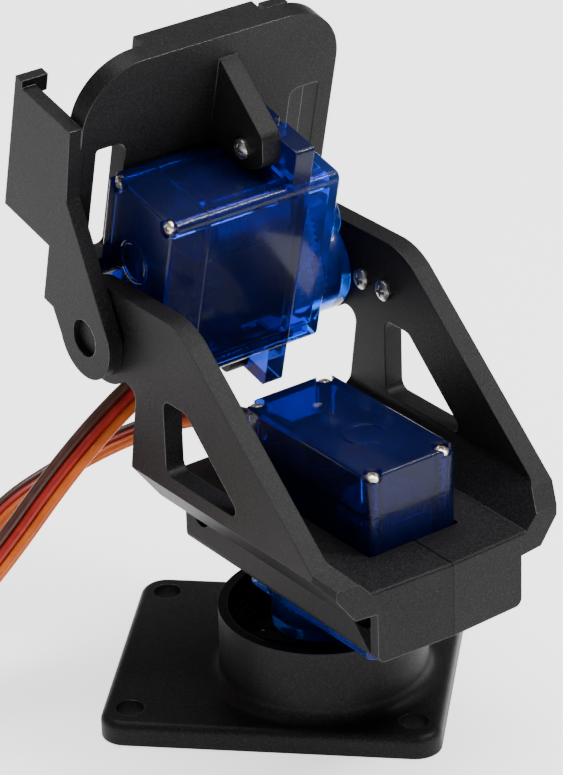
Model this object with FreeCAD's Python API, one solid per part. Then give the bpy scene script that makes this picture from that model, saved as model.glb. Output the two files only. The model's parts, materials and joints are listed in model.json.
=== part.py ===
import FreeCAD, Part
import math
import os
from FreeCAD import Matrix, Vector

# A hobby pan and tilt bracket with two micro servos. Millimetres, +Z up.
# Origin: centre of the base's four fixing holes, at its underside. X runs to the right, Y away.
# The yoke and the head are built in frames of their own, then turned to the rest pose.

# ---- rest pose ----
PAN_REST = 44.2  # yoke turned about Z, degrees
TILT_REST = 13.8  # head turned about the yoke's X, degrees
TILT_Y = 17.3  # tilt axis in the yoke's frame
TILT_Z = 43.8
RUN = 0.07  # radial clearance of every turning fit
FREE = 0.1  # clearance of a loose fit

# ---- base ----
PLATE_L, PLATE_W, PLATE_T = 38.4, 33.0, 2.8
PAN_X, PAN_Y = 4.7, -2.2  # the pan axis, seen from the plate's centre
HOLE_X, HOLE_Y, HOLE_R = 15.95, 13.0, 1.6
CUP_R, CUP_TOP, CUP_WALL = 11.9, 11.5, 1.1
CUP_FLOOR = 6.6
SCREW_WELL_R = 3.4

# ---- yoke ----
BLOCK_X = 9.85  # half width of the servo block
BLOCK_LOW, BLOCK_TOP = 17.7, 26.6
BLOCK_FAR, BLOCK_NEAR = 12.2, -23.6
ARM_IN, ARM_OUT = 14.0, 16.4
ARM_LOW = 28.9
CLAMP_Z = 22.15
CLAMP_Y = (9.1, -20.3)
CLAMP_SEAT = -BLOCK_X + 2.6  # where the clamp screws' heads rest, below the left surface
CORNER_WALL = 1.8  # thickness of the near wall beside the left pocket
LOBE_R = 6.0
SLOPE, RIM_Z_AT_0 = 0.874, 47.67  # the arms' slanted edge: rise along Y, height at y = 0
BEND_Y, BEND_SLOPE, BEND_IN = -20.5, 0.62, 1.8  # from here on the arms turn inwards and the edge flattens
PIN_R, PIN_END = 2.1, 17.9

# ---- servo, in its own frame: output axis on Z, cover at z = 0, spline up ----
CASE_LOW_X, CASE_HIGH_X, CASE_Y = -5.9, 16.9, 6.05
COVER_TOP, EAR_LOW, DECK_TOP, CASE_TOP, BOSS_TOP = 5.2, 15.9, 18.4, 22.7, 26.7
DECK_LOW = 17.6
WALL = 0.9
EAR_LOW_X, EAR_HIGH_X = -10.6, 21.6
EAR_HOLE_X = (-8.4, 19.4)
BOSS_R, PIN_BOSS_R = 5.9, 2.8
PIN_X = 6.25  # axis of the idler gears
MOTOR_X = 11.85
CASE_SCREW_X, CASE_SCREW_Y = (-4.9, 15.9), 4.65
SPLINE_R, SPLINE_TOP, SPLINE_TEETH = 2.3, 29.2, 21
PIN_R_GEAR, SHAFT_R = 0.5, 1.0
MARK_X = 8.5  # a plain raised ring on the cover

# ---- horns ----
PAN_COVER_Z = BLOCK_LOW + DECK_TOP  # the ears' upper side lies flush with the block's underside
HORN_LOW, HORN_TOP, HORN_ARM_T, HORN_HUB_R = BOSS_TOP + 0.25, BOSS_TOP + 3.5, 1.5, 3.5
HORN_SCREWS = (7.6, 11.6)
HORN_LENGTH, PAN_HORN_REACH = 14.2, 7.6
PAN_HORN_UNDER = PAN_COVER_Z - HORN_TOP

# ---- head ----
NEAR_N, FAR_N = 6.1, 8.6  # near and far faces of the camera plate
PLATE_HALF, HEAD_LOW, HEAD_TOP = 17.1, 2.6, 30.3
SIDE_OUT, SIDE_IN = -18.7, -16.9
WING_FAR, WING_LOW, WING_HIGH = 17.0, 7.3, 23.5
SLOT_IN, SLOT_OUT, SLOT_LOW, SLOT_HIGH = 11.1, 15.0, 5.0, 20.1
TILT_COVER_X = -13.0  # cover face of the tilt servo
EAR_R = 4.8  # round end of the pivot ear
EAR_X = TILT_COVER_X + EAR_LOW  # the left faces of the tilt servo's ears
RIB_T = 2.5
HORN_SEAT_X = TILT_COVER_X + HORN_TOP - HORN_ARM_T

# ---- servo leads: a flat three-wire ribbon each, its unseen length wound on the surface ----
LEAD_D = 3.5  # width of the ribbon
COIL_X, COIL_Y = -62.3, 3.8
# a coil's underside, its radii, and its last bend in to the plug: where it starts, its radius and height
PAN_COIL = {"z": 0.0, "inner": 18.6, "outer": 23.4, "angle": 169, "start": 19.5, "bend": 10.5, "bend_z": 1.75}
TILT_COIL = {"z": 3.6, "inner": 16.9, "outer": 20.7, "angle": 50, "start": 16.4, "bend": 8.0, "bend_z": 3.2}
PLUG_L, PLUG_W, PLUG_T = 14.0, 7.6, 2.6
PAN_ROUTE = [
    (0.3, 2.3, 30.1),
    (-5.2, 7.1, 29.9),
    (-12.2, 8.7, 28.6),
    (-19.1, 7.2, 26.4),
    (-25.1, 3.7, 24.3),
    (-31.9, -1.2, 21.2),
    (-36.3, -6.0, 15.4),
    (-40.0, -10.0, 9),
    (-44.6, -13.5, 3.9),
    (-50.9, -15.8, 1.85),
    (-58.7, -17.5, 1.8),
]
TILT_ROUTE = [
    (-14.2, 5.9, 36.8),
    (-16.2, 4.9, 34.3),
    (-19.1, 2.7, 31.9),
    (-22.2, -0.3, 29),
    (-25.5, -3.7, 25.4),
    (-29.9, -8.0, 19.8),
    (-34.7, -12.0, 14.4),
    (-40.9, -15.4, 9.9),
    (-48.2, -16.9, 7.0),
    (-55.9, -16.9, 5.6),
    (-64.0, -15.0, 5.4),
]


# ---- drawing helpers ----
def box(x0, x1, y0, y1, z0, z1):
    return Part.makeBox(x1 - x0, y1 - y0, z1 - z0, Vector(x0, y0, z0))


def rod(radius, start, end):
    """A round bar between two points."""
    start, end = Vector(*start), Vector(*end)
    return Part.makeCylinder(radius, (end - start).Length, start, end - start)


def in_plane(plane, u, v, w):
    """The point (u, v) of a named plane, at distance w from it."""
    places = {"xy": (u, v, w), "yz": (w, u, v), "xz": (u, w, v)}
    return Vector(*places[plane])


def along(plane, distance):
    return in_plane(plane, 0, 0, distance)


def rounded(corners, plane, w0, w1):
    """A prism on a closed outline of (u, v, corner radius)."""
    edges, ends = [], []
    count = len(corners)
    for i, (u, v, radius) in enumerate(corners):
        here = in_plane(plane, u, v, w0)
        before = in_plane(plane, *corners[i - 1][:2], w0) - here
        after = in_plane(plane, *corners[(i + 1) % count][:2], w0) - here
        before.normalize()
        after.normalize()
        half = before.getAngle(after) / 2
        if radius == 0:
            ends.append((here, here))
            continue
        reach = radius / math.tan(half)
        middle = before + after
        middle.normalize()
        top = here + middle * (radius / math.sin(half) - radius)
        ends.append((here + before * reach, here + after * reach))
        edges.append(Part.Arc(ends[-1][0], top, ends[-1][1]).toShape())
    for i in range(count):
        a, b = ends[i][1], ends[(i + 1) % count][0]
        if (b - a).Length > 1e-6:
            edges.append(Part.LineSegment(a, b).toShape())
    wire = Part.Wire(Part.__sortEdges__(edges))
    return Part.Face(wire).extrude(along(plane, w1 - w0))


def traced(start, steps, plane, w0, w1):
    """A prism on an outline of straight steps (u, v) and arcs (through u, v, to u, v)."""
    edges, last = [], in_plane(plane, *start, w0)
    for step in steps:
        end = in_plane(plane, *step[-2:], w0)
        if len(step) == 4:
            middle = in_plane(plane, *step[:2], w0)
            edges.append(Part.Arc(last, middle, end).toShape())
        else:
            edges.append(Part.LineSegment(last, end).toShape())
        last = end
    return Part.Face(Part.Wire(edges)).extrude(along(plane, w1 - w0))


def bar(x0, x1, y0, y1, z0, z1, radius):
    """A box with its four upright edges rounded."""
    return rounded([(x0, y0, radius), (x1, y0, radius), (x1, y1, radius), (x0, y1, radius)], "xy", z0, z1)


def joined(first, *others):
    return first.multiFuse(list(others)).removeSplitter()


def cut(shape, *tools):
    return shape.cut(Part.makeCompound(list(tools)) if len(tools) > 1 else tools[0])


def cut_each(shape, tools):
    for tool in tools:
        shape = shape.cut(tool)
    return shape.removeSplitter()


def softened(shape, radius, wanted):
    """The shape with the edges that wanted(edge) picks rounded off."""
    return shape.makeFillet(radius, [e for e in shape.Edges if wanted(e)])


def mirrored(shape):
    return shape.mirror(Vector(0, 0, 0), Vector(1, 0, 0))


def polar(radius, degrees, z=0.0):
    angle = math.radians(degrees)
    return Vector(radius * math.cos(angle), radius * math.sin(angle), z)


# ---- frames ----
def frame(x_axis, y_axis, z_axis, origin):
    m = Matrix()
    m.A11, m.A21, m.A31 = x_axis
    m.A12, m.A22, m.A32 = y_axis
    m.A13, m.A23, m.A33 = z_axis
    m.A14, m.A24, m.A34 = origin
    return FreeCAD.Placement(m)


def turned(axis, degrees):
    return FreeCAD.Placement(Vector(0, 0, 0), FreeCAD.Rotation(axis, degrees))


BASE = FreeCAD.Placement(Vector(PAN_X, PAN_Y, 0), FreeCAD.Rotation())
YOKE = BASE.multiply(turned(Vector(0, 0, 1), PAN_REST))
TILT_MOVE = FreeCAD.Placement(Vector(0, TILT_Y, TILT_Z), FreeCAD.Rotation(Vector(1, 0, 0), TILT_REST))
HEAD = YOKE.multiply(TILT_MOVE)
PAN_SERVO = YOKE.multiply(frame((0, -1, 0), (-1, 0, 0), (0, 0, -1), (0, 0, PAN_COVER_Z)))
TILT_SERVO = HEAD.multiply(frame((0, 0, 1), (0, -1, 0), (1, 0, 0), (TILT_COVER_X, 0, 0)))


def placed(shape, place):
    moved = shape.copy()
    moved.Placement = place.multiply(moved.Placement)
    return moved


# ---- fasteners ----
def pan_head_screw(head_r, head_h, shank_r, length):
    """A cross-recess screw with its seat at z = 0, head up and shank down."""
    dome = head_h * 0.45
    outline = [
        Part.LineSegment(Vector(0, 0, -length), Vector(shank_r * 0.35, 0, -length)),
        Part.LineSegment(Vector(shank_r * 0.35, 0, -length), Vector(shank_r, 0, -length + shank_r)),
        Part.LineSegment(Vector(shank_r, 0, -length + shank_r), Vector(shank_r, 0, 0)),
        Part.LineSegment(Vector(shank_r, 0, 0), Vector(head_r, 0, 0)),
        Part.LineSegment(Vector(head_r, 0, 0), Vector(head_r, 0, head_h - dome)),
        Part.Arc(
            Vector(head_r, 0, head_h - dome),
            Vector(head_r * 0.62, 0, head_h - dome * 0.28),
            Vector(0, 0, head_h),
        ),
        Part.LineSegment(Vector(0, 0, head_h), Vector(0, 0, -length)),
    ]
    wire = Part.Wire([line.toShape() for line in outline])
    solid = Part.Face(wire).revolve(Vector(0, 0, 0), Vector(0, 0, 1), 360)
    solid = Part.Solid(solid.Shells[0]) if not isinstance(solid, Part.Solid) else solid
    if solid.Volume < 0:
        solid.reverse()
    arm, slot = head_r * 0.58, head_r * 0.15
    deep = head_h * 0.45
    return cut_each(
        solid,
        [
            box(-arm, arm, -slot, slot, deep, head_h + 1),
            box(-slot, slot, -arm, arm, deep, head_h + 1),
        ],
    )


def screw_at(screw, seat, out):
    """The screw with its seat at a point and its head towards out."""
    spin = FreeCAD.Rotation(Vector(0, 0, 1), Vector(*out))
    return placed(screw, FreeCAD.Placement(Vector(*seat), spin))


# ---- gears ----
STAGES = {  # module, teeth, z from, z to
    "motor_pinion": (0.2, 10, 18.5, 19.4),
    "gear_1_wheel": (0.2, 46, 18.6, 19.3),
    "gear_1_pinion": (0.25, 12, 19.3, 20.4),
    "gear_2_wheel": (0.25, 38, 19.5, 20.3),
    "gear_2_pinion": (0.25, 12, 20.3, 21.6),
    "gear_3_wheel": (0.25, 38, 20.6, 21.4),
    "gear_3_pinion": (0.3125, 12, 21.4, 24.3),
    "output_wheel": (0.3125, 28, 21.8, 24.2),
}


def toothed(stage, phase):
    """A spur gear with straight-sided teeth; phase turns it, in tooth pitches, from a tooth on +X."""
    module, teeth, z0, z1 = STAGES[stage]
    pitch_r = module * teeth / 2
    tip_r, root_r = pitch_r + 0.75 * module, pitch_r - 1.15 * module
    step = 360 / teeth
    tip_half, root_half = 0.09 * step, 0.27 * step
    points = []
    for i in range(teeth):
        middle = (i + phase) * step
        flank = (root_r, -root_half), (tip_r, -tip_half), (tip_r, tip_half), (root_r, root_half)
        points += [polar(radius, middle + offset, z0) for radius, offset in flank]
    return Part.Face(Part.makePolygon(points + points[:1])).extrude(Vector(0, 0, z1 - z0))


def facing_phase(stage, own, towards):
    """The phase that puts a tooth (own = 0) or a gap (own = 0.5) in the direction towards, in degrees."""
    return towards / (360 / STAGES[stage][1]) + own


def moved(shape, x):
    shape.translate(Vector(x, 0, 0))
    return shape


def idler(wheel, pinion, wheel_phase, pinion_phase, bore, x):
    body = joined(toothed(wheel, wheel_phase), toothed(pinion, pinion_phase))
    low, high = STAGES[wheel][2], STAGES[pinion][3]
    return moved(body.cut(rod(bore, (0, 0, low - 1), (0, 0, high + 1))), x)


def gear_train():
    """Motor pinion, three idlers and the output gear, in mesh. Each pair meets along X:
    the gear on the left shows a tooth to its neighbour on the right, which shows a gap."""
    shaft = rod(PIN_R_GEAR, (0, 0, 14.6), (0, 0, 19.4))
    pinion = joined(toothed("motor_pinion", facing_phase("motor_pinion", 0.5, 180)), shaft)
    output = joined(
        toothed("output_wheel", 0),
        rod(SHAFT_R, (0, 0, 12.6), (0, 0, 21.9)),
        rod(SPLINE_R + 0.15, (0, 0, 24.2), (0, 0, BOSS_TOP)),
        spline(),
    )
    return {
        "motor_pinion": moved(pinion, MOTOR_X),
        "gear_1": idler(
            "gear_1_wheel",
            "gear_1_pinion",
            0,
            facing_phase("gear_1_pinion", 0.5, 180),
            PIN_R_GEAR + RUN,
            PIN_X,
        ),
        "gear_2": idler("gear_2_wheel", "gear_2_pinion", 0, 0, SHAFT_R + RUN, 0),
        "gear_3": idler(
            "gear_3_wheel",
            "gear_3_pinion",
            facing_phase("gear_3_wheel", 0.5, 180),
            facing_phase("gear_3_pinion", 0.5, 180),
            PIN_R_GEAR + RUN,
            PIN_X,
        ),
        "output_gear": output,
    }


def spline():
    """The toothed end of the output shaft, with a pilot hole for the horn's screw."""
    points = []
    for i in range(SPLINE_TEETH):
        step = 360 / SPLINE_TEETH
        points.append(polar(SPLINE_R, i * step, BOSS_TOP))
        points.append(polar(SPLINE_R - 0.25, (i + 0.5) * step, BOSS_TOP))
    solid = Part.Face(Part.makePolygon(points + points[:1])).extrude(Vector(0, 0, SPLINE_TOP - BOSS_TOP))
    return solid.cut(rod(0.7, (0, 0, BOSS_TOP + 0.2), (0, 0, SPLINE_TOP + 1)))


# ---- servo ----
def case_corners():
    return [(x, y) for x in CASE_SCREW_X for y in (-CASE_SCREW_Y, CASE_SCREW_Y)]


def shell_block(z0, z1):
    outer = bar(CASE_LOW_X, CASE_HIGH_X, -CASE_Y, CASE_Y, z0, z1, 1.0)
    inner = bar(CASE_LOW_X + WALL, CASE_HIGH_X - WALL, -CASE_Y + WALL, CASE_Y - WALL, z0, z1, 0.6)
    return outer, inner


def posts(z0, z1, radius=1.15):
    return [rod(radius, (x, y, z0), (x, y, z1)) for x, y in case_corners()]


def screw_holes(z0, z1):
    return [rod(0.65, (x, y, z0), (x, y, z1)) for x, y in case_corners()]


def servo_cover():
    """The cover over the circuit board, with a notch at each corner for a screw's head."""
    outer, inner = shell_block(0, COVER_TOP)
    inner = inner.common(box(-20, 20, -20, 20, 0.9, COVER_TOP))
    outline_edges = [e for e in outer.Edges if max(v.Z for v in e.Vertexes) < 0.01]
    outer = outer.makeFillet(0.35, outline_edges)
    ring = rod(2.5, (MARK_X, 0, -0.12), (MARK_X, 0, 0.1)).cut(rod(2.1, (MARK_X, 0, -1), (MARK_X, 0, 1)))
    body = joined(cut(outer, inner), ring, *[p.common(outer) for p in posts(0, COVER_TOP)])
    notches = [rod(1.05, (x, y, -1), (x, y, 0.9)) for x, y in case_corners()]
    corners = []
    for x, y in case_corners():
        out_x, out_y = math.copysign(3, x - 5.5), math.copysign(3, y)
        low_x, high_x = sorted((x, x + out_x))
        low_y, high_y = sorted((y, y + out_y))
        corners.append(box(low_x, high_x, low_y, high_y, -1, 0.9))
    dimple = Part.makeSphere(1.6, Vector(0.2, 0, -1.25))
    return cut_each(body, notches + corners + screw_holes(-1, COVER_TOP + 1) + [dimple])


def servo_case():
    """The middle shell with the two fixing ears and the deck under the gears."""
    outer, inner = shell_block(COVER_TOP, DECK_TOP)
    inner = inner.common(box(-20, 20, -20, 20, COVER_TOP, DECK_LOW))
    shell = joined(cut(outer, inner), *[p.common(outer) for p in posts(COVER_TOP, DECK_LOW)])
    ears = bar(EAR_LOW_X, EAR_HIGH_X, -CASE_Y + 0.1, CASE_Y - 0.1, EAR_LOW, DECK_TOP, 0.5).cut(
        box(CASE_LOW_X + WALL, CASE_HIGH_X - WALL, -7, 7, EAR_LOW - 1, DECK_TOP + 1)
    )
    shell = joined(shell, ears)
    holes = screw_holes(COVER_TOP - 1, DECK_TOP + 1)
    for x in EAR_HOLE_X:
        outside = EAR_LOW_X - 1 if x < 0 else EAR_HIGH_X + 1
        low_x, high_x = sorted((x, outside))
        holes.append(rod(1.0, (x, 0, EAR_LOW - 1), (x, 0, DECK_TOP + 1)))
        holes.append(box(low_x, high_x, -0.6, 0.6, EAR_LOW - 1, DECK_TOP + 1))
    holes.append(rod(1.75, (MOTOR_X, 0, DECK_LOW - 1), (MOTOR_X, 0, DECK_TOP + 1)))
    holes.append(rod(1.5, (0, 0, DECK_LOW - 1), (0, 0, DECK_TOP + 1)))
    holes.append(rod(PIN_R_GEAR, (PIN_X, 0, DECK_LOW - 1), (PIN_X, 0, DECK_TOP + 1)))
    holes.append(box(CASE_LOW_X - 1, CASE_LOW_X + 2, -1.75, 1.75, COVER_TOP - 1, COVER_TOP + 1.3))
    return cut_each(shell, holes)


def servo_gear_case():
    """The upper shell over the gears, with the round boss of the output and a small one beside it."""
    outer, inner = shell_block(DECK_TOP, CASE_TOP)
    inner = inner.common(box(-20, 20, -20, 20, DECK_TOP, CASE_TOP - WALL))
    outer = outer.makeFillet(0.35, [e for e in outer.Edges if min(v.Z for v in e.Vertexes) > CASE_TOP - 0.01])
    bosses = joined(
        rod(BOSS_R, (0, 0, CASE_TOP - 0.5), (0, 0, BOSS_TOP)),
        rod(PIN_BOSS_R, (PIN_X, 0, CASE_TOP - 0.5), (PIN_X, 0, BOSS_TOP)),
    )
    top_rims = [e for e in bosses.Edges if min(v.Z for v in e.Vertexes) > BOSS_TOP - 0.01]
    bosses = bosses.makeFillet(0.3, top_rims)
    shell = joined(outer, bosses)
    hollows = [
        inner.cut(Part.makeCompound([p.common(outer) for p in posts(DECK_TOP, CASE_TOP)])),
        rod(BOSS_R - 0.8, (0, 0, DECK_TOP), (0, 0, BOSS_TOP - 1)),
        rod(PIN_BOSS_R - 0.5, (PIN_X, 0, DECK_TOP), (PIN_X, 0, BOSS_TOP - 1)),
        rod(SPLINE_R + 0.15 + RUN, (0, 0, BOSS_TOP - 2), (0, 0, BOSS_TOP + 1)),
        rod(PIN_R_GEAR, (PIN_X, 0, BOSS_TOP - 2), (PIN_X, 0, BOSS_TOP - 0.5)),
    ]
    return cut_each(shell, hollows + screw_holes(DECK_TOP - 1, CASE_TOP - 1.2))


def servo_screws():
    screw = pan_head_screw(0.85, 0.7, 0.6, CASE_TOP - 3.5)
    return Part.makeCompound([screw_at(screw, (x, y, 0.9), (0, 0, -1)) for x, y in case_corners()])


def servo_motor():
    """A small flat-sided motor can with its neck and its plastic end cap."""
    can = rod(4.9, (MOTOR_X, 0, 7.2), (MOTOR_X, 0, 17.0))
    can = can.common(box(MOTOR_X - 3.95, MOTOR_X + 3.95, -6, 6, 7, 17.1))
    cap = rod(4.3, (MOTOR_X, 0, 5.9), (MOTOR_X, 0, 7.2))
    cap = cap.common(box(MOTOR_X - 3.7, MOTOR_X + 3.7, -6, 6, 5, 7.3))
    neck = rod(1.5, (MOTOR_X, 0, 17.0), (MOTOR_X, 0, 18.1))
    return joined(can, cap, neck).cut(rod(PIN_R_GEAR + RUN, (MOTOR_X, 0, 14.5), (MOTOR_X, 0, 19)))


def servo_potentiometer():
    """The position sensor under the deck, with three terminals."""
    body = joined(
        rod(4.2, (0, 0, 11.8), (0, 0, DECK_LOW)),
        *[box(y - 0.3, y + 0.3, -0.25, 0.25, 8.6, 11.9) for y in (-2.2, 0, 2.2)],
    )
    return body.cut(rod(SHAFT_R + RUN, (0, 0, 12.3), (0, 0, 19)))


def servo_circuit_board():
    """The control board across the open end, with its chip and three solder pads."""
    board = box(-4.7, 6.6, -4.2, 4.2, 4.2, 5.0)
    board = cut_each(board, [rod(1.35, (-4.9, y, 3), (-4.9, y, 6)) for y in (-CASE_SCREW_Y, CASE_SCREW_Y)])
    chip = box(0.4, 4.6, -2.4, 2.4, 3.1, 4.2)
    pads = [box(-4.2, -3.0, y - 0.4, y + 0.4, 3.8, 4.2) for y in (-1.2, 0, 1.2)]
    return joined(board, chip, *pads)


def horn_arm(angle, length, tip_r, hub_r, z0, z1):
    """A tapered horn arm from the hub to its rounded tip."""
    side, far = Vector(0, hub_r * 0.8, 0), Vector(length, 0, 0)
    points = [-side, far - Vector(0, tip_r, 0), far + Vector(0, tip_r, 0), side, -side]
    shape = Part.Face(Part.makePolygon([p + Vector(0, 0, z0) for p in points]))
    arm = joined(shape.extrude(Vector(0, 0, z1 - z0)), rod(tip_r, (length, 0, z0), (length, 0, z1)))
    return placed(arm, turned(Vector(0, 0, 1), angle))


def servo_horn(arms, length, screws):
    """A plastic horn in the servo's frame: its toothed socket, its arms and their small holes."""
    low = HORN_TOP - HORN_ARM_T
    hub = rod(HORN_HUB_R, (0, 0, HORN_LOW), (0, 0, HORN_TOP))
    body = joined(hub, *[horn_arm(a, length, 1.9, HORN_HUB_R, low, HORN_TOP) for a in arms])
    cuts = [
        rod(SPLINE_R + 0.03, (0, 0, HORN_LOW - 1), (0, 0, SPLINE_TOP)),
        rod(1.1, (0, 0, SPLINE_TOP - 1), (0, 0, HORN_TOP + 1)),
    ]
    for angle in arms:
        for reach in range(5, int(length) + 1, 2):
            spot = polar(reach + 0.6, angle)
            if all(abs(reach + 0.6 - s) > 0.5 for s in screws):
                cuts.append(rod(0.5, (spot.x, spot.y, low - 1), (spot.x, spot.y, HORN_TOP + 1)))
        for reach in screws:
            spot = polar(reach, angle)
            cuts.append(rod(0.55, (spot.x, spot.y, low - 1), (spot.x, spot.y, HORN_TOP + 1)))
    return cut_each(body, cuts)


def centre_screw():
    return screw_at(pan_head_screw(1.9, 1.0, 0.65, 3.2), (0, 0, HORN_TOP), (0, 0, 1))


def servo(name, place):
    parts = {
        "cover": servo_cover(),
        "case": servo_case(),
        "gear_case": servo_gear_case(),
        "case_screws": servo_screws(),
        "motor": servo_motor(),
        "potentiometer": servo_potentiometer(),
        "circuit_board": servo_circuit_board(),
        "idler_pin": rod(PIN_R_GEAR, (PIN_X, 0, DECK_LOW), (PIN_X, 0, BOSS_TOP - 0.6)),
        "centre_screw": centre_screw(),
    }
    parts.update(gear_train())
    return {f"{name}_{key}": placed(shape, place) for key, shape in parts.items()}


# ---- base ----
def base_plate():
    """The foot: a rounded plate with four fixing holes and the cup around the pan servo's boss."""
    half_l, half_w = PLATE_L / 2, PLATE_W / 2
    plate = bar(-half_l, half_l, -half_w, half_w, 0, PLATE_T, 3.0)
    plate = softened(plate, 1.0, lambda e: min(v.Z for v in e.Vertexes) > PLATE_T - 0.01)
    cup = rod(CUP_R, (0, 0, 1), (0, 0, CUP_TOP))
    foot = rod(CUP_R + 1.6, (0, 0, PLATE_T - 0.5), (0, 0, PLATE_T + 1.6))
    rounding = Part.makeTorus(CUP_R + 1.6, 1.6, Vector(0, 0, PLATE_T + 1.6))
    body = joined(plate, placed(joined(cup, foot.cut(rounding)), BASE))
    inner_r = CUP_R - CUP_WALL
    holes = [
        rod(inner_r, (0, 0, CUP_FLOOR + 1.6), (0, 0, CUP_TOP + 1)),
        rod(inner_r - 0.8, (0, 0, CUP_FLOOR), (0, 0, CUP_TOP + 1)),
        rod(SCREW_WELL_R, (0, 0, -1), (0, 0, CUP_TOP)),
    ]
    holes = [placed(tool, BASE) for tool in holes + [base_horn_seat()] + base_screw_wells()]
    for x in (-HOLE_X, HOLE_X):
        for y in (-HOLE_Y, HOLE_Y):
            holes.append(rod(HOLE_R, (x, y, -1), (x, y, PLATE_T + 1)))
    return cut_each(body, holes)


def base_horn_seat():
    """The recess in the cup's floor that holds the pan horn."""
    z0, z1 = PAN_HORN_UNDER, CUP_TOP
    seat = [rod(HORN_HUB_R + FREE, (0, 0, z0), (0, 0, z1))]
    for angle in (0, 180):
        seat.append(horn_arm(angle, PAN_HORN_REACH, 1.9 + FREE, HORN_HUB_R + FREE, z0, z1))
    return joined(*seat)


def base_screw_wells():
    wells = []
    for x in (-PAN_HORN_REACH + 0.6, PAN_HORN_REACH - 0.6):
        wells.append(rod(2.1, (x, 0, -1), (x, 0, 3.6)))
        wells.append(rod(0.85, (x, 0, 0), (x, 0, PAN_HORN_UNDER + 1)))
    return wells


def pan_horn_screws():
    screw = pan_head_screw(1.7, 1.1, 0.55, 3.6)
    return Part.makeCompound(
        [screw_at(screw, (x, 0, 3.6), (0, 0, -1)) for x in (-PAN_HORN_REACH + 0.6, PAN_HORN_REACH - 0.6)]
    )


# ---- yoke ----


def rim_y(z):
    """Where the arm's slanted near edge stands at a height."""
    return (z - RIM_Z_AT_0) / SLOPE


def arm_outline(x0, x1):
    """The side view of an arm, from the foot of its far leg round the pivot lobe and down the slope."""
    return traced(
        (12.95, 22.0),
        [
            (12.7, 29.3),
            (11.25, 37.7),
            (11.72, 38.87, 13.75, 38.99),
            (TILT_Y + LOBE_R, TILT_Z, TILT_Y, TILT_Z + LOBE_R),
            (5.0, TILT_Z + LOBE_R),
            (2.5, 49.25, 0.55, rim_z(0.55)),
            (BEND_Y, rim_z(BEND_Y)),
            (BLOCK_NEAR - 1, rim_z(BEND_Y) - BEND_SLOPE * (BEND_Y - BLOCK_NEAR + 1)),
            (BLOCK_NEAR - 1, 22.0),
            (12.95, 22.0),
        ],
        "yz",
        x0,
        x1,
    )


def rim_z(y):
    return RIM_Z_AT_0 + SLOPE * y


def arm_window(x0, x1):
    low, high = 30.8, 40.0
    rim_gap = 7.2  # from the slanted edge to the window, along Y
    return rounded(
        [
            (5.9, low, 1.2),
            (5.9, high, 1.2),
            (rim_y(high) + rim_gap + 3.2, high, 1.5),
            (rim_y(low) + rim_gap + 3.6, low, 0.9),
        ],
        "yz",
        x0,
        x1,
    )


def yoke_half():
    """The right half of the yoke, X from 0 outwards: half of the servo block, the flare and one arm."""
    section = [
        (0, BLOCK_LOW, 0),
        (BLOCK_X, BLOCK_LOW, 0.9),
        (BLOCK_X, 23.8, 0),
        (12.7, 24.0, 0),
        (ARM_OUT, ARM_LOW, 0),
        (ARM_OUT, 60, 0),
        (ARM_IN, 60, 0),
        (ARM_IN, 30.3, 1.2),
        (10.6, BLOCK_TOP, 0),
        (0, BLOCK_TOP, 0),
    ]
    body = rounded(section, "xz", BLOCK_NEAR - 2, TILT_Y + LOBE_R + 1)
    block_zone = box(0, BLOCK_X, BLOCK_NEAR - 2, BLOCK_FAR, BLOCK_LOW, BLOCK_TOP)
    body = body.common(joined(block_zone, arm_outline(0, ARM_OUT + 1)))
    vee = traced(
        (0, BLOCK_NEAR),
        [(20, BLOCK_NEAR + 0.9), (20, BLOCK_NEAR - 5), (0, BLOCK_NEAR - 5), (0, BLOCK_NEAR)],
        "xy",
        0,
        60,
    )
    end = BLOCK_NEAR - 1
    inward = BEND_IN * (BEND_Y - end) / (BEND_Y - BLOCK_NEAR)
    inner = rounded(
        [(ARM_IN, BEND_Y, 0), (ARM_IN - inward, end, 0), (ARM_IN + 0.5, end, 0)], "xy", BLOCK_TOP, 60
    )
    outer = rounded([(ARM_OUT, BEND_Y, 0), (ARM_OUT + 1, end, 0), (ARM_OUT - inward, end, 0)], "xy", 0, 60)
    body = joined(body, inner.common(arm_outline(0, ARM_OUT + 1)))
    return cut_each(body, [vee, outer, arm_window(ARM_IN - 6, ARM_OUT + 1)])


def servo_pocket():
    """The space for the pan servo: the case from above and its ears from below."""
    case = bar(
        -CASE_Y - FREE,
        CASE_Y + FREE,
        -CASE_HIGH_X - FREE,
        -CASE_LOW_X + FREE,
        BLOCK_LOW - 1,
        BLOCK_TOP + 1,
        0.4,
    )
    ears = box(-CASE_Y, CASE_Y, -EAR_HIGH_X - FREE, -EAR_LOW_X + FREE, BLOCK_LOW - 1, PAN_COVER_Z - EAR_LOW)
    return joined(case, ears)


def soften_near_top(half):
    """The block's upper near edge is eased."""
    def near_top(edge):
        box_ = edge.BoundBox
        flat = box_.ZLength < 0.01 and abs(box_.ZMax - BLOCK_TOP) < 0.01
        return flat and box_.YMax < BLOCK_NEAR + 0.7 and box_.XLength > 5
    return softened(half, 0.35, near_top)


def corner_pocket():
    """The shallow three-cornered pocket round the left half's near screw."""
    near, top = BLOCK_NEAR + CORNER_WALL, 23.8
    rims = []
    for x, reach in ((-BLOCK_X - 0.1, 5.8), (-BLOCK_X + 0.9, 4.6)):
        corners = [Vector(x, near, top), Vector(x, near + reach, top), Vector(x, near, top - reach)]
        rims.append(Part.makePolygon(corners + corners[:1]))
    return Part.makeLoft(rims, True, True)


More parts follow.
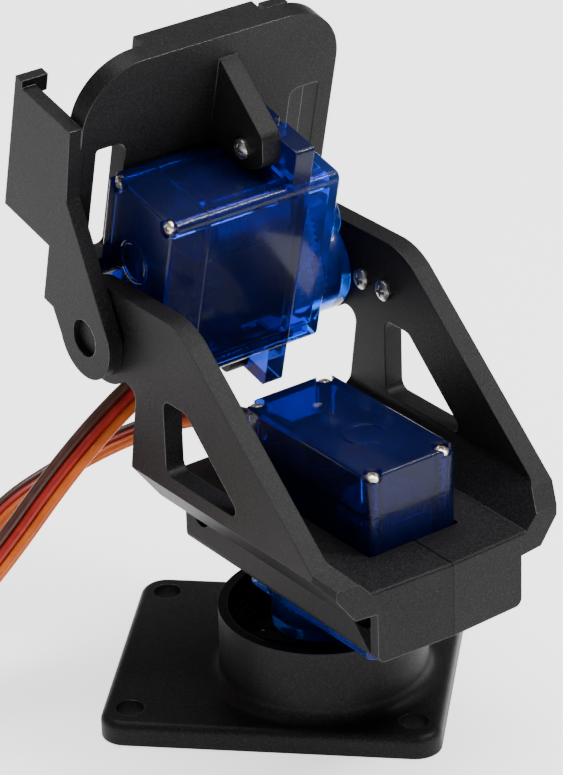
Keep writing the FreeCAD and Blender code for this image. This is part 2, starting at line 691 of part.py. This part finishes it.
def yoke_left():
    """The left half, with the idle pivot pin and the seats of the clamp screws."""
    half = mirrored(soften_near_top(yoke_half()))
    pin = rod(PIN_R, (-ARM_IN - 0.5, TILT_Y, TILT_Z), (-PIN_END, TILT_Y, TILT_Z))
    tools = [servo_pocket(), corner_pocket()]
    for y in CLAMP_Y:
        tools.append(rod(1.3, (-20, y, CLAMP_Z), (1, y, CLAMP_Z)))
        tools.append(rod(1.6, (-20, y, CLAMP_Z), (CLAMP_SEAT, y, CLAMP_Z)))
    return cut_each(joined(half, pin), tools)


def yoke_right():
    """The right half, with the tilt horn's recess and blind holes for the clamp screws' ends."""
    half = soften_near_top(yoke_half())
    tools = [servo_pocket(), rod(HORN_HUB_R + FREE, (ARM_IN - 1, TILT_Y, TILT_Z), (20, TILT_Y, TILT_Z))]
    for y in CLAMP_Y:
        tools.append(rod(1.05, (-1, y, CLAMP_Z), (BLOCK_X - 2.5, y, CLAMP_Z)))
    tools.append(tilt_horn_seat())
    for reach in HORN_SCREWS:
        tools.append(rod(0.8, (ARM_IN - 1, TILT_Y - reach, TILT_Z), (20, TILT_Y - reach, TILT_Z)))
    return cut_each(half, tools)


def tilt_horn_seat():
    """The recess on the right arm's outer face that holds the tilt horn."""
    arm = horn_arm(0, HORN_LENGTH, 1.9 + FREE, HORN_HUB_R + FREE, HORN_SEAT_X, 20)
    return placed(arm, frame((0, -1, 0), (0, 0, -1), (1, 0, 0), (0, TILT_Y, TILT_Z)))


def tilt_horn():
    horn = servo_horn((0,), HORN_LENGTH, HORN_SCREWS)
    return placed(horn, frame((0, -1, 0), (0, 0, -1), (1, 0, 0), (TILT_COVER_X, TILT_Y, TILT_Z)))


def tilt_horn_screws():
    screw = pan_head_screw(1.2, 0.8, 0.5, 3.0)
    return Part.makeCompound(
        [screw_at(screw, (ARM_IN, TILT_Y - reach, TILT_Z), (-1, 0, 0)) for reach in HORN_SCREWS]
    )


def clamp_screws():
    screw = pan_head_screw(1.5, 1.1, 1.0, 14.0)
    return Part.makeCompound([screw_at(screw, (CLAMP_SEAT, y, CLAMP_Z), (-1, 0, 0)) for y in CLAMP_Y])


# ---- head ----
def head_plate():
    """The camera plate with its strap slots, top lip, two wings, pivot ear and servo ribs."""
    plate = rounded(
        [
            (-PLATE_HALF, HEAD_LOW, 0),
            (PLATE_HALF, HEAD_LOW, 1.5),
            (PLATE_HALF, HEAD_TOP, 7.5),
            (-PLATE_HALF, HEAD_TOP, 7.5),
        ],
        "xz",
        NEAR_N,
        FAR_N,
    )
    tongue = rounded([(-8, -8, 1.5), (5.4, -8, 1.5), (5.4, 5, 0), (-8, 5, 0)], "xz", NEAR_N, FAR_N - 0.5)
    lip = box(-8.3, 7.5, FAR_N - 0.5, FAR_N + 1.9, HEAD_TOP - 1.6, HEAD_TOP)
    left_side = traced(
        (NEAR_N + 0.2, WING_HIGH),
        [
            (WING_FAR, WING_HIGH),
            (WING_FAR, WING_LOW),
            (8.1, WING_LOW),
            (8.1, 0.1),
            (6.3, 0.1),
            (4.25, -2.25),
            (-0.4, -4.8, *ear_tangent()),
            (5.7, 14.8),
            (NEAR_N + 0.2, WING_HIGH),
        ],
        "yz",
        SIDE_OUT,
        SIDE_IN,
    )
    right_wing = box(PLATE_HALF - 1.6, PLATE_HALF, NEAR_N + 0.2, WING_FAR, WING_LOW, WING_HIGH)
    hooks = [
        box(SIDE_OUT, SIDE_IN + 1.6, WING_FAR - 1.3, WING_FAR, WING_HIGH - 1.2, WING_HIGH + 0.9),
        box(PLATE_HALF - 3.2, PLATE_HALF, WING_FAR - 1.3, WING_FAR, WING_HIGH - 1.2, WING_HIGH + 0.9),
    ]
    body = joined(plate, tongue, lip, left_side, right_wing, *hooks, *head_ribs())
    slots = [
        rounded(
            [
                (side * SLOT_IN, SLOT_LOW, 0.8),
                (side * SLOT_OUT, SLOT_LOW, 0.8),
                (side * SLOT_OUT, SLOT_HIGH, 0.4),
                (side * SLOT_IN, SLOT_HIGH, 1.2),
            ],
            "xz",
            NEAR_N - 1,
            FAR_N + 1,
        )
        for side in (-1, 1)
    ]
    return cut_each(body, slots + [rod(PIN_R + RUN, (-25, 0, 0), (-15, 0, 0))] + ear_screw_holes())


def ear_tangent():
    """Where the ear's slanted near edge touches its round end, on a line from (5.7, 14.8)."""
    far, angle = math.hypot(5.7, 14.8), math.atan2(14.8, 5.7)
    spread = math.acos(EAR_R / far)
    return (EAR_R * math.cos(angle + spread), EAR_R * math.sin(angle + spread))


def head_ribs():
    """Two webs that the tilt servo's ears are screwed to."""
    root = NEAR_N + 0.5
    upper = rounded(
        [(root, 27.7, 0), (-2.9, 22.3, 1.6), (-3.6, 19.0, 1.4), (-1.2, 17.2, 1.0), (root, 17.2, 0)],
        "yz",
        EAR_X - RIB_T,
        EAR_X,
    )
    lower = rounded(
        [(root, -6.2, 0), (-2.6, -6.2, 0.8), (-2.6, -10.6, 1.2), (3.6, -10.6, 1.5), (root, -7.9, 0)],
        "yz",
        EAR_X - RIB_T,
        EAR_X,
    )
    return [upper, lower]


def ear_screw_holes():
    return [rod(0.75, (EAR_X - RIB_T - 1, 0, h), (EAR_X + 1, 0, h)) for h in EAR_HOLE_X]


def ear_screws():
    screw = pan_head_screw(1.15, 0.9, 0.7, 6.6)
    return Part.makeCompound([screw_at(screw, (EAR_X - RIB_T, 0, h), (-1, 0, 0)) for h in EAR_HOLE_X])


# ---- leads ----
def tube(route, radius):
    """A round tube along straight runs joined by tangent arcs, each as large as its runs allow."""
    points = [Vector(*p) for p in route]
    edges, last, radii = [], points[0], []
    for before, here, after in zip(points, points[1:], points[2:]):
        back, on = before - here, after - here
        shorter = min(back.Length, on.Length)
        back.normalize()
        on.normalize()
        half_turn = (math.pi - back.getAngle(on)) / 2
        reach = 0.45 * shorter
        bend = reach / math.tan(half_turn)
        radii.append(round(bend, 1))
        middle = back + on
        middle.normalize()
        top = here + middle * (bend / math.cos(half_turn) - bend)
        start, end = here + back * reach, here + on * reach
        edges.append(Part.LineSegment(last, start).toShape())
        edges.append(Part.Arc(start, top, end).toShape())
        last = end
    edges.append(Part.LineSegment(last, points[-1]).toShape())
    path = Part.Wire(edges)
    ring = Part.Wire(Part.makeCircle(radius, points[0], points[1] - points[0]))
    solid = path.makePipeShell([ring], True, True)
    expected = math.pi * radius**2 * path.Length
    print(f"tube length {path.Length:.1f} volume over section {solid.Volume / expected:.4f} bends {radii}")
    return solid


def tail_hub(coil):
    """Centre of the last bend, which leaves the innermost turn."""
    return Vector(COIL_X, COIL_Y, 0) + polar(coil["start"] - coil["bend"], coil["angle"])


def lead_coil(coil):
    """The outer shape of a lead's wound turns, with its last bend in to the plug."""
    low, high = coil["z"], coil["z"] + LEAD_D
    turns = rod(coil["outer"], (COIL_X, COIL_Y, low), (COIL_X, COIL_Y, high)).cut(
        rod(coil["inner"], (COIL_X, COIL_Y, low - 1), (COIL_X, COIL_Y, high + 1))
    )
    bend = Part.makeTorus(coil["bend"], LEAD_D / 2 - 0.1, Vector(0, 0, 0), Vector(0, 0, 1), -180, 180, 90)
    bend = placed(bend, turned(Vector(0, 0, 1), coil["angle"] - 90))
    bend.translate(tail_hub(coil) + Vector(0, 0, coil["bend_z"]))
    return joined(turns, bend)


def lead_plug(coil):
    """A three-way socket housing, its rear against the end of the lead's last bend."""
    plug = bar(0, PLUG_L, -PLUG_W / 2, PLUG_W / 2, 0, PLUG_T, 0.3)
    holes = []
    for row in (-1, 0, 1):
        y = row * 2.54
        holes.append(box(PLUG_L - 6, PLUG_L + 1, y - 0.4, y + 0.4, 0.9, 1.7))
        holes.append(box(4.0, 7.0, y - 0.7, y + 0.7, PLUG_T - 0.5, PLUG_T + 1))
    plug = cut_each(plug, holes)
    rear = tail_hub(coil) + polar(coil["bend"], coil["angle"] - 90)
    return placed(plug, FreeCAD.Placement(rear, FreeCAD.Rotation(Vector(0, 0, 1), coil["angle"] + 180)))


def leads():
    """Both leads lie wound, the tilt servo's on the pan servo's, and both plugs lie inside."""
    return {
        "pan_lead": tube(PAN_ROUTE, LEAD_D / 2),
        "pan_lead_coil": lead_coil(PAN_COIL),
        "pan_lead_plug": lead_plug(PAN_COIL),
        "tilt_lead": tube(TILT_ROUTE, LEAD_D / 2),
        "tilt_lead_coil": lead_coil(TILT_COIL),
        "tilt_lead_plug": lead_plug(TILT_COIL),
    }


# ---- everything ----
def all_parts():
    parts = {
        "base_plate": base_plate(),
        "pan_horn": placed(servo_horn((0, 180), PAN_HORN_REACH, (PAN_HORN_REACH - 0.6,)), pan_horn_place()),
        "pan_horn_screws": placed(pan_horn_screws(), BASE),
        "yoke_left": placed(yoke_left(), YOKE),
        "yoke_right": placed(yoke_right(), YOKE),
        "clamp_screws": placed(clamp_screws(), YOKE),
        "tilt_horn": placed(tilt_horn(), YOKE),
        "tilt_horn_screws": placed(tilt_horn_screws(), YOKE),
        "head_plate": placed(head_plate(), HEAD),
        "ear_screws": placed(ear_screws(), HEAD),
    }
    parts.update(servo("pan", PAN_SERVO))
    parts.update(servo("tilt", TILT_SERVO))
    parts.update(leads())
    return parts


def pan_horn_place():
    return BASE.multiply(frame((1, 0, 0), (0, -1, 0), (0, 0, -1), (0, 0, PAN_COVER_Z)))


os.makedirs("parts", exist_ok=True)
for node, shape in all_parts().items():
    print(f"{node:24s} solids {len(shape.Solids)} volume {shape.Volume:9.2f} valid {shape.isValid()}")
    shape.exportStep(f"parts/{node}.step")
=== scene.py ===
import json
import math

import bpy
from mathutils import Matrix, Vector


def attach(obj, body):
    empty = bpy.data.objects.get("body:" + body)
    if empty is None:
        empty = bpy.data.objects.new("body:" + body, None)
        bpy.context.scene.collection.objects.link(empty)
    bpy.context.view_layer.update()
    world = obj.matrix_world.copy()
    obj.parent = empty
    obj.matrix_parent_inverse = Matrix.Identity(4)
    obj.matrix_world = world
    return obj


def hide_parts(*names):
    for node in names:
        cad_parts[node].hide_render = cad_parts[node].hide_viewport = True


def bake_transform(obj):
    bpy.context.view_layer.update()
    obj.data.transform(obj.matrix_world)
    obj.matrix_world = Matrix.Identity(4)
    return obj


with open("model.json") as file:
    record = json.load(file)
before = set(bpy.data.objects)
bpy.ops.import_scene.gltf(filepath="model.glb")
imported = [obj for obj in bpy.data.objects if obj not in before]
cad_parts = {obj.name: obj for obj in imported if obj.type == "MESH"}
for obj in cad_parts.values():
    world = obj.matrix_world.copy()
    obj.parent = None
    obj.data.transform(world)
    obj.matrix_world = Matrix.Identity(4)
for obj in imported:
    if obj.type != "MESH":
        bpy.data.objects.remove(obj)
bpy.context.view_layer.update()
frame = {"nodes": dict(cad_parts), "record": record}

MM = 0.001
PAN_AXIS = Vector((4.7, -2.2, 0)) * MM
PAN_REST = math.radians(44.2)
YOKE_X = Vector((math.cos(PAN_REST), math.sin(PAN_REST), 0))  # across the yoke, from left to right

# lengths of the surface detail, in metres
# width of the painted shade line along the seam between the yoke's halves
SEAM_SHADE_REACH = 0.00013  # to each side of the yoke's middle plane
# radius of the outer-edge band that is painted paler as a highlight and also made shinier
PAINTED_HIGHLIGHT_EDGE = 0.00016
MOULDED_EDGE, SMALL_EDGE, METAL_EDGE = 0.0002, 0.0001, 0.00012  # radii that shading rounds edges by

scene = bpy.context.scene


# ---- camera ----
def make_camera():
    target, distance = Vector((0.8, -2.2, 38.25)) * MM, 0.42
    azimuth, elevation, roll = (math.radians(angle) for angle in (8.6, 27.13, -1.97))
    back = Vector(
        (
            math.sin(azimuth) * math.cos(elevation),
            -math.cos(azimuth) * math.cos(elevation),
            math.sin(elevation),
        )
    )
    right = Vector((math.cos(azimuth), math.sin(azimuth), 0))
    up = back.cross(right)
    turned_right = right * math.cos(roll) + up * math.sin(roll)
    turned_up = up * math.cos(roll) - right * math.sin(roll)
    data = bpy.data.cameras.new("camera")
    data.lens = 177.9
    data.clip_start = 0.01
    data.clip_end = 10
    camera = bpy.data.objects.new("camera", data)
    scene.collection.objects.link(camera)
    place = Matrix((turned_right, turned_up, back)).transposed().to_4x4()
    place.translation = target + back * distance
    camera.matrix_world = place
    scene.camera = camera


make_camera()


# ---- shader helpers ----
def new_material(name):
    material = bpy.data.materials.new(name)
    material.use_nodes = True
    tree = material.node_tree
    return material, tree, tree.nodes["Principled BSDF"]


def noise(tree, scale, detail=3.0, roughness=0.55, stretch=(1, 1, 1)):
    """A noise value over the piece's own coordinates, in metres."""
    place = tree.nodes.new("ShaderNodeTexCoord")
    mapping = tree.nodes.new("ShaderNodeMapping")
    mapping.inputs["Scale"].default_value = stretch
    texture = tree.nodes.new("ShaderNodeTexNoise")
    texture.inputs["Scale"].default_value = scale
    texture.inputs["Detail"].default_value = detail
    texture.inputs["Roughness"].default_value = roughness
    tree.links.new(place.outputs["Object"], mapping.inputs["Vector"])
    tree.links.new(mapping.outputs["Vector"], texture.inputs["Vector"])
    return texture.outputs["Fac"]


def ramp(tree, value, stops):
    """A colour ramp over value, with stops of (position, colour)."""
    node = tree.nodes.new("ShaderNodeValToRGB")
    elements = node.color_ramp.elements
    while len(elements) < len(stops):
        elements.new(0.5)
    for element, (position, colour) in zip(elements, stops):
        element.position = position
        element.color = (*colour, 1)
    tree.links.new(value, node.inputs["Fac"])
    return node.outputs["Color"]


def span(tree, value, low, high, low_in=0.3, high_in=0.7):
    """The value spread from low to high."""
    node = tree.nodes.new("ShaderNodeMapRange")
    node.inputs["From Min"].default_value = low_in
    node.inputs["From Max"].default_value = high_in
    node.inputs["To Min"].default_value = low
    node.inputs["To Max"].default_value = high
    tree.links.new(value, node.inputs["Value"])
    return node.outputs["Result"]


def bump(tree, layers, edge=0.0):
    """A normal with height layers of (value, strength, distance), on edges rounded by a radius."""
    normal = None
    if edge:
        rounding = tree.nodes.new("ShaderNodeBevel")
        rounding.samples = 6
        rounding.inputs["Radius"].default_value = edge
        normal = rounding.outputs["Normal"]
    for value, strength, distance in layers:
        node = tree.nodes.new("ShaderNodeBump")
        node.inputs["Strength"].default_value = strength
        node.inputs["Distance"].default_value = distance
        tree.links.new(value, node.inputs["Height"])
        if normal:
            tree.links.new(normal, node.inputs["Normal"])
        normal = node.outputs["Normal"]
    return normal


def edge_mask(tree, radius):
    """1 on the piece's outer edges and 0 on its flats."""
    plain = tree.nodes.new("ShaderNodeNewGeometry")
    rounding = tree.nodes.new("ShaderNodeBevel")
    rounding.samples = 6
    rounding.inputs["Radius"].default_value = radius
    product = tree.nodes.new("ShaderNodeVectorMath")
    product.operation = "DOT_PRODUCT"
    tree.links.new(plain.outputs["Normal"], product.inputs[0])
    tree.links.new(rounding.outputs["Normal"], product.inputs[1])
    return span(tree, product.outputs["Value"], 1, 0, 0.75, 0.985)


def near_seam(tree, reach):
    """1 within reach of the plane where the yoke's two halves meet, and 0 elsewhere; it places the painted
    shade along the seam.
    """
    place = tree.nodes.new("ShaderNodeTexCoord")
    across = tree.nodes.new("ShaderNodeVectorMath")
    across.operation = "DOT_PRODUCT"
    across.inputs[1].default_value = YOKE_X
    tree.links.new(place.outputs["Object"], across.inputs[0])
    gap = tree.nodes.new("ShaderNodeMath")
    gap.operation = "SUBTRACT"
    gap.inputs[1].default_value = YOKE_X.dot(PAN_AXIS)
    tree.links.new(across.outputs["Value"], gap.inputs[0])
    size = tree.nodes.new("ShaderNodeMath")
    size.operation = "ABSOLUTE"
    tree.links.new(gap.outputs["Value"], size.inputs[0])
    return span(tree, size.outputs["Value"], 1, 0, reach * 0.6, reach)


def mixed(tree, factor, low, high):
    """low where factor is 0 and high where it is 1; each is a colour or a socket."""
    node = tree.nodes.new("ShaderNodeMix")
    node.data_type = "RGBA"
    tree.links.new(factor, node.inputs["Factor"])
    for socket, value in ((node.inputs[6], low), (node.inputs[7], high)):
        if isinstance(value, tuple):
            socket.default_value = (*value, 1)
        else:
            tree.links.new(value, socket)
    return node.outputs[2]


# ---- materials ----
def nylon(name, seam=False):
    """Black moulded nylon: a fine speckled grain, cloudy gloss, and shinier outer edges whose paler colour
    is a painted highlight.
    """
    material, tree, shader = new_material(name)
    cloud = noise(tree, 160, 4, 0.6)
    grain = noise(tree, 5200, 2, 0.5)
    flow = noise(tree, 420, 3, 0.5, (1, 1, 0.25))
    base = ramp(tree, cloud, [(0.3, (0.0045, 0.0042, 0.0048)), (0.72, (0.0075, 0.007, 0.0078))])
    speckled = mixed(tree, span(tree, grain, 0, 1, 0.46, 0.78), base, (0.02, 0.019, 0.0205))
    edges = edge_mask(tree, PAINTED_HIGHLIGHT_EDGE)
    # paler colour on the outer edges: a painted highlight
    colour = mixed(tree, edges, speckled, (0.02, 0.0195, 0.021))
    if seam:
        # painted shade: a near-black line where the gap between the halves is shaded, with no painted
        # highlight on its edges
        gap = near_seam(tree, SEAM_SHADE_REACH)
        colour = mixed(tree, gap, colour, (0.0004, 0.0004, 0.0004))
        plain = tree.nodes.new("ShaderNodeMath")
        plain.operation = "SUBTRACT"
        plain.use_clamp = True
        tree.links.new(edges, plain.inputs[0])
        tree.links.new(gap, plain.inputs[1])
        edges = plain.outputs["Value"]
    tree.links.new(colour, shader.inputs["Base Color"])
    tree.links.new(span(tree, edges, 0.44, 0.2, 0, 1), shader.inputs["Roughness"])
    tree.links.new(span(tree, edges, 0.09, 0.8, 0, 1), shader.inputs["Specular IOR Level"])
    normal = bump(tree, [(grain, 0.7, 0.00004), (flow, 0.12, 0.00006)], MOULDED_EDGE)
    tree.links.new(normal, shader.inputs["Normal"])
    return material


def blue_shell(name, dark, light):
    """Deep blue see-through polycarbonate: a satin skin over a faintly streaked body."""
    material, tree, shader = new_material(name)
    streak = noise(tree, 260, 3, 0.5, (1, 1, 0.3))
    tree.links.new(ramp(tree, streak, [(0.25, dark), (0.75, light)]), shader.inputs["Base Color"])
    shader.inputs["Transmission Weight"].default_value = 0.94
    shader.inputs["IOR"].default_value = 1.18
    tree.links.new(span(tree, streak, 0.04, 0.12), shader.inputs["Roughness"])
    shader.inputs["Coat Weight"].default_value = 0.3
    shader.inputs["Coat Roughness"].default_value = 0.34
    shader.inputs["Coat IOR"].default_value = 1.4
    polish = noise(tree, 900, 2)
    tree.links.new(bump(tree, [(polish, 0.08, 0.00002)], MOULDED_EDGE), shader.inputs["Normal"])
    return material


def moulded(name, dark, light, rough, see_through=0.0):
    """A small moulded plastic part with slight mottling."""
    material, tree, shader = new_material(name)
    cloud = noise(tree, 700, 3)
    tree.links.new(ramp(tree, cloud, [(0.3, dark), (0.7, light)]), shader.inputs["Base Color"])
    tree.links.new(span(tree, cloud, rough - 0.06, rough + 0.08), shader.inputs["Roughness"])
    shader.inputs["Subsurface Weight"].default_value = see_through
    shader.inputs["Subsurface Scale"].default_value = 0.0005
    normal = bump(tree, [(noise(tree, 4000, 2), 0.2, 0.00001)], SMALL_EDGE)
    tree.links.new(normal, shader.inputs["Normal"])
    return material


def metal(name, dark, light, rough, stretch=(1, 1, 1)):
    """Plated or turned metal with fine tool marks."""
    material, tree, shader = new_material(name)
    cloud = noise(tree, 900, 3)
    marks = noise(tree, 2600, 2, 0.5, stretch)
    tree.links.new(ramp(tree, cloud, [(0.3, dark), (0.7, light)]), shader.inputs["Base Color"])
    shader.inputs["Metallic"].default_value = 1.0
    tree.links.new(span(tree, marks, rough - 0.06, rough + 0.12), shader.inputs["Roughness"])
    tree.links.new(bump(tree, [(marks, 0.25, 0.00001)], METAL_EDGE), shader.inputs["Normal"])
    return material


def insulation(name, dark, light):
    """Soft PVC wire insulation, with faint scuffs."""
    material, tree, shader = new_material(name)
    scuff = noise(tree, 500, 4)
    tree.links.new(ramp(tree, scuff, [(0.3, dark), (0.7, light)]), shader.inputs["Base Color"])
    tree.links.new(span(tree, scuff, 0.3, 0.46), shader.inputs["Roughness"])
    normal = bump(tree, [(noise(tree, 1400, 2), 0.15, 0.00003)])
    tree.links.new(normal, shader.inputs["Normal"])
    return material


WIRES = [
    insulation("wire_brown", (0.045, 0.012, 0.008), (0.075, 0.02, 0.012)),
    insulation("wire_red", (0.27, 0.008, 0.005), (0.36, 0.014, 0.008)),
    insulation("wire_orange", (0.5, 0.085, 0.008), (0.64, 0.13, 0.015)),
]
FINISHES = {
    "nylon_black": nylon("nylon_black"),
    "horn_nylon": moulded("horn_nylon", (0.76, 0.76, 0.72), (0.86, 0.86, 0.83), 0.4, 0.3),
    "gear_nylon": moulded("gear_nylon", (0.78, 0.78, 0.74), (0.88, 0.88, 0.86), 0.4, 0.3),
    "screw_steel": metal("screw_steel", (0.3, 0.3, 0.29), (0.5, 0.49, 0.47), 0.3),
    "screw_brass": metal("screw_brass", (0.5, 0.44, 0.33), (0.72, 0.66, 0.54), 0.26),
    "servo_blue": blue_shell("servo_blue", (0.006, 0.018, 0.25), (0.016, 0.048, 0.42)),
    "motor_steel": metal("motor_steel", (0.5, 0.5, 0.5), (0.66, 0.66, 0.66), 0.3, (1, 1, 0.1)),
    "pot_brown": moulded("pot_brown", (0.1, 0.05, 0.02), (0.2, 0.11, 0.05), 0.4),
    "board_green": moulded("board_green", (0.004, 0.02, 0.01), (0.008, 0.035, 0.018), 0.3),
    "plug_black": moulded("plug_black", (0.008, 0.008, 0.009), (0.02, 0.02, 0.022), 0.42),
}
# the yoke's nylon, with painted shade along its seam
YOKE_NYLON = nylon("nylon_black_seam_shaded", True)
# a paler copy of servo_blue for the gear cases: painted light, the same plastic drawn brighter
LIT_GEAR_HOUSING = blue_shell("servo_blue_painted_lighter", (0.008, 0.075, 0.58), (0.025, 0.15, 0.76))
NODE_SLOT = {row["node"]: row["material_slot"] for row in frame["record"]["subparts"]}


# ---- servo leads ----
COIL = Vector((-62.3, 3.8, 0)) * MM
WIRE_R = 0.6 * MM
WIRE_PITCH = 1.17 * MM
PAN_ROUTE = [
    (0.3, 2.3, 30.1),
    (-5.2, 7.1, 29.9),
    (-12.2, 8.7, 28.6),
    (-19.1, 7.2, 26.4),
    (-25.1, 3.7, 24.3),
    (-31.9, -1.2, 21.2),
    (-36.3, -6.0, 15.4),
    (-40.0, -10.0, 9),
    (-44.6, -13.5, 3.9),
    (-50.9, -15.8, 1.85),
    (-58.7, -17.5, 1.8),
]
TILT_ROUTE = [
    (-14.2, 5.9, 36.8),
    (-16.2, 4.9, 34.3),
    (-19.1, 2.7, 31.9),
    (-22.2, -0.3, 29),
    (-25.5, -3.7, 25.4),
    (-29.9, -8.0, 19.8),
    (-34.7, -12.0, 14.4),
    (-40.9, -15.4, 9.9),
    (-48.2, -16.9, 7.0),
    (-55.9, -16.9, 5.6),
    (-64.0, -15.0, 5.4),
]
# each coil's start and end in degrees, and in mm its radii, its heights, its last bend and the plug's height
PAN_TURNS = {
    "start": -82,
    "end": 169 - 720,
    "outer": 21.9,
    "inner": 20.4,
    "low": 0.7,
    "high": 3.8,
    "bend_start": 19.5,
    "bend": 10.5,
    "plug": 1.3,
}
TILT_TURNS = {
    "start": -97,
    "end": 50 - 720,
    "outer": 18.9,
    "inner": 18.0,
    "low": 5.3,
    "high": 7.7,
    "bend_start": 16.4,
    "bend": 8.0,
    "plug": 1.3,
}


def around(centre, radius, degrees, z):
    """The point at a height z, on a circle round centre."""
    angle = math.radians(degrees)
    return Vector((centre.x + radius * math.cos(angle), centre.y + radius * math.sin(angle), z))


def wound(turns):
    """The coil's turns, clockwise from start to end, then the bend in to the plug."""
    step, bend_steps = 24, 4
    start, end = turns["start"], turns["end"]
    outer, inner, low, high, bend_start, bend, plug = (
        turns[key] * MM for key in ("outer", "inner", "low", "high", "bend_start", "bend", "plug")
    )
    points = []
    count = round((start - end) / step)
    for i in range(1, count):
        part = i / count
        radius = outer + (inner - outer) * part
        points.append(around(COIL, radius, start + (end - start) * part, low + (high - low) * part))
    hub = around(COIL, bend_start - bend, end, plug)
    for i in range(bend_steps + 1):
        part = i / bend_steps
        points.append(around(hub, bend, end - 90 * part, plug + (high - plug) * (1 - part)))
    return points


def smooth_line(name, points):
    """Points along the smooth line that the route's points pull towards."""
    data = bpy.data.curves.new(name, "CURVE")
    data.dimensions = "3D"
    data.resolution_u = 10
    spline = data.splines.new("NURBS")
    spline.points.add(len(points) - 1)
    for point, place in zip(spline.points, points):
        point.co = (*place, 1)
    spline.order_u = 3
    spline.use_endpoint_u = True
    guide = bpy.data.objects.new(name, data)
    scene.collection.objects.link(guide)
    bpy.context.view_layer.update()
    mesh = bpy.data.meshes.new_from_object(guide.evaluated_get(bpy.context.evaluated_depsgraph_get()))
    line = [v.co.copy() for v in mesh.vertices]
    bpy.data.objects.remove(guide)
    bpy.data.meshes.remove(mesh)
    return line


def facing_at(facings, share):
    """The broad face's direction at a share of the length."""
    (s0, f0), (s1, f1) = next(pair for pair in zip(facings, facings[1:]) if share <= pair[1][0])
    part = (share - s0) / (s1 - s0)
    return (Vector(f0) * (1 - part) + Vector(f1) * part).normalized()


def ribbon(name, line, facings):
    """Three insulated wires side by side along line.

    facings are (share of the length, direction of the broad face).
    """
    sides = 12
    vertices, faces, slots = [], [], []
    lengths = [0.0]
    for a, b in zip(line, line[1:]):
        lengths.append(lengths[-1] + (b - a).length)
    for wire in range(len(WIRES)):
        first = len(vertices)
        for i, place in enumerate(line):
            ahead = (line[min(i + 1, len(line) - 1)] - line[max(i - 1, 0)]).normalized()
            share = lengths[i] / lengths[-1]
            facing = facing_at(facings, share)
            across = ahead.cross(facing).normalized()
            out = across.cross(ahead).normalized()
            middle = place + across * (1 - wire) * WIRE_PITCH
            for j in range(sides):
                angle = 2 * math.pi * j / sides
                vertices.append(middle + (across * math.cos(angle) + out * math.sin(angle)) * WIRE_R)
        for i in range(len(line) - 1):
            for j in range(sides):
                a, b = first + i * sides + j, first + i * sides + (j + 1) % sides
                faces.append((a, b, b + sides, a + sides))
                slots.append(wire)
        faces.append(tuple(first + j for j in reversed(range(sides))))
        last = first + (len(line) - 1) * sides
        faces.append(tuple(last + j for j in range(sides)))
        slots.extend((wire, wire))
    mesh = bpy.data.meshes.new(name)
    mesh.from_pydata(vertices, [], faces)
    for material in WIRES:
        mesh.materials.append(material)
    for polygon, wire in zip(mesh.polygons, slots):
        polygon.material_index = wire
        polygon.use_smooth = len(polygon.vertices) == 4
    piece = bpy.data.objects.new(name, mesh)
    scene.collection.objects.link(piece)
    return piece


def in_metres(route):
    """A route's points, given in mm."""
    return [Vector(p) * MM for p in route]


def make_leads():
    pan_line = smooth_line("pan_line", in_metres(PAN_ROUTE) + wound(PAN_TURNS))
    tilt_line = smooth_line("tilt_line", in_metres(TILT_ROUTE) + wound(TILT_TURNS))
    up = (0, 0, 1)
    pan = ribbon("pan_ribbon", pan_line, [(0, (0.1, -0.2, 1)), (0.15, up), (1, up)])
    tilt_facings = [(0, (0.4, -0.8, 0.3)), (0.2, (0.1, -0.6, 0.8)), (0.4, up), (1, up)]
    tilt = ribbon("tilt_ribbon", tilt_line, tilt_facings)
    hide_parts("pan_lead", "pan_lead_coil")
    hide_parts("tilt_lead", "tilt_lead_coil")
    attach(pan, "yoke")
    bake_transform(tilt)


make_leads()


# ---- finishes of the CAD nodes ----
def finish_nodes():
    for node, piece in frame["nodes"].items():
        slot = NODE_SLOT[node]
        if slot not in FINISHES:
            continue
        finish = FINISHES[slot]
        # gear cases take the paler blue copy: painted light
        if node.endswith("gear_case"):
            finish = LIT_GEAR_HOUSING
        if node in ("yoke_left", "yoke_right"):
            finish = YOKE_NYLON
        piece.data.materials.clear()
        piece.data.materials.append(finish)


finish_nodes()


# ---- floor and light ----
def make_floor():
    mesh = bpy.data.meshes.new("floor")
    size = 4.0
    below = -0.00002  # clear of the foot's underside
    corners = [(-size, -size, below), (size, -size, below), (size, size, below), (-size, size, below)]
    mesh.from_pydata(corners, [], [(0, 1, 2, 3)])
    material, tree, shader = new_material("floor_white")
    tone = ramp(tree, noise(tree, 3, 2), [(0.3, (0.86, 0.86, 0.86)), (0.7, (0.88, 0.88, 0.88))])
    tree.links.new(tone, shader.inputs["Base Color"])
    shader.inputs["Roughness"].default_value = 0.9
    shader.inputs["Emission Color"].default_value = (1, 1, 1, 1)
    shader.inputs["Emission Strength"].default_value = 1.4
    mesh.materials.append(material)
    floor = bpy.data.objects.new("floor", mesh)
    scene.collection.objects.link(floor)


def softbox(name, place, aim, size, power):
    """A rectangular lamp of two sides in metres, turned to face aim."""
    data = bpy.data.lights.new(name, "AREA")
    data.shape = "RECTANGLE"
    data.size, data.size_y = size
    data.energy = power
    lamp = bpy.data.objects.new(name, data)
    scene.collection.objects.link(lamp)
    lamp.location = place
    lamp.rotation_euler = (Vector(place) - Vector(aim)).to_track_quat("Z", "Y").to_euler()


make_floor()
middle = (0, 0, 0.035)
softbox("key", (0.45, 0.0, 0.6), middle, (0.16, 0.2), 5)
softbox("left", (-0.4, -0.5, 0.45), middle, (0.12, 0.3), 0.25)
softbox("top", (0.0, 0.15, 0.8), middle, (0.7, 0.5), 10)

world = bpy.data.worlds.new("studio")
world.use_nodes = True
background = world.node_tree.nodes["Background"]
background.inputs["Color"].default_value = (1, 1, 1, 1)
background.inputs["Strength"].default_value = 0.25
scene.world = world
